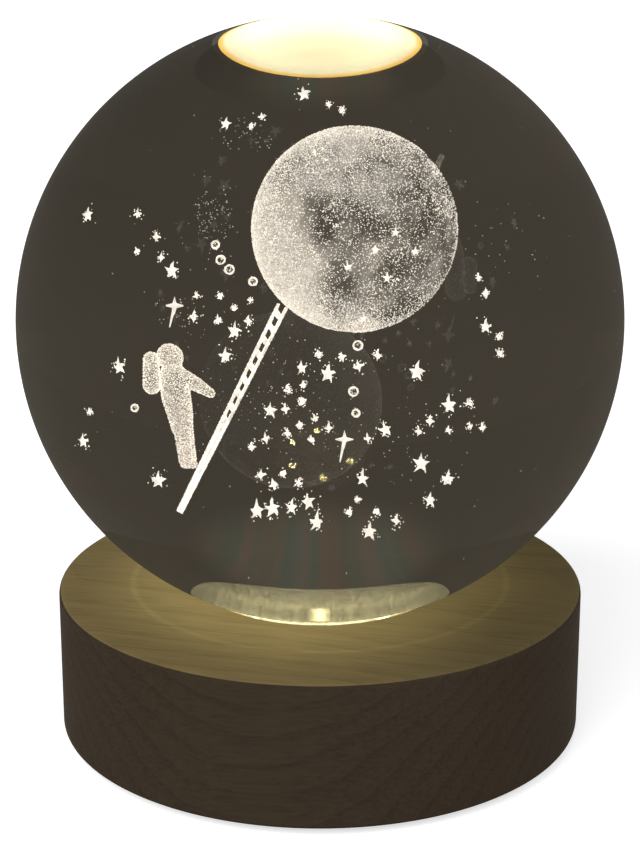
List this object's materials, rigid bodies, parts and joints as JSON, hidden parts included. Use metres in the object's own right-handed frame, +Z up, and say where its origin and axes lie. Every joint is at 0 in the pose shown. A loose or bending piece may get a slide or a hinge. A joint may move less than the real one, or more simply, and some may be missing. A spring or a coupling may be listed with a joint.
{
  "type": "moon lamp",
  "caption": "Solid crystal ball with a moon, ladder and astronaut engraved inside it, resting in the lit seat of a turned wooden base, with a power socket at the back.",
  "frame": {"origin": "on the table, under the middle of the base", "axes": "+Z up through the ball's centre, -Y to the front of the engraved scene, +Y to the power socket"},
  "size_m": [0.08, 0.08, 0.0973],
  "materials": {
    "turned_wood": "oiled, fine grain",
    "cover_plastic": "matte",
    "screw_steel": "plated",
    "foot_rubber": "matte",
    "white_board": "white solder mask",
    "led_white": "matte",
    "led_phosphor": "lit",
    "chip_black": "matte",
    "green_board": "green solder mask",
    "socket_steel": "plated",
    "socket_black": "matte",
    "lead_red": "matte",
    "lead_black": "matte",
    "solder": "bright",
    "crystal": "polished",
    "engraving": "fine white marks, lit from below"
  },
  "bodies": {
    "base": {"wood_base": "turned_wood", "bottom_cover": "cover_plastic", "cover_screws": "screw_steel", "rubber_feet": "foot_rubber", "led_board": "white_board", "led_packages": "led_white", "led_lenses": "led_phosphor", "led_resistors": "chip_black", "board_screws": "screw_steel", "port_board": "green_board", "port_resistors": "chip_black", "port_screws": "screw_steel", "socket_shell": "socket_steel", "socket_tongue": "socket_black", "lead_red": "lead_red", "lead_black": "lead_black", "solder_joints": "solder"},
    "ball": {"crystal_ball": "crystal", "engraved_moon": "engraving", "engraved_ladder": "engraving", "engraved_astronaut": "engraving", "engraved_backpack": "engraving", "engraved_bright_stars": "engraving", "engraved_small_stars": "engraving", "engraved_planets": "engraving", "engraved_comets": "engraving"}
  },
  "joints": [
    {"name": "ball_lift", "type": "slide", "parent": "base", "child": "ball", "axis": [0, 0, 1], "range_m": [0, 0.05]}
  ]
}
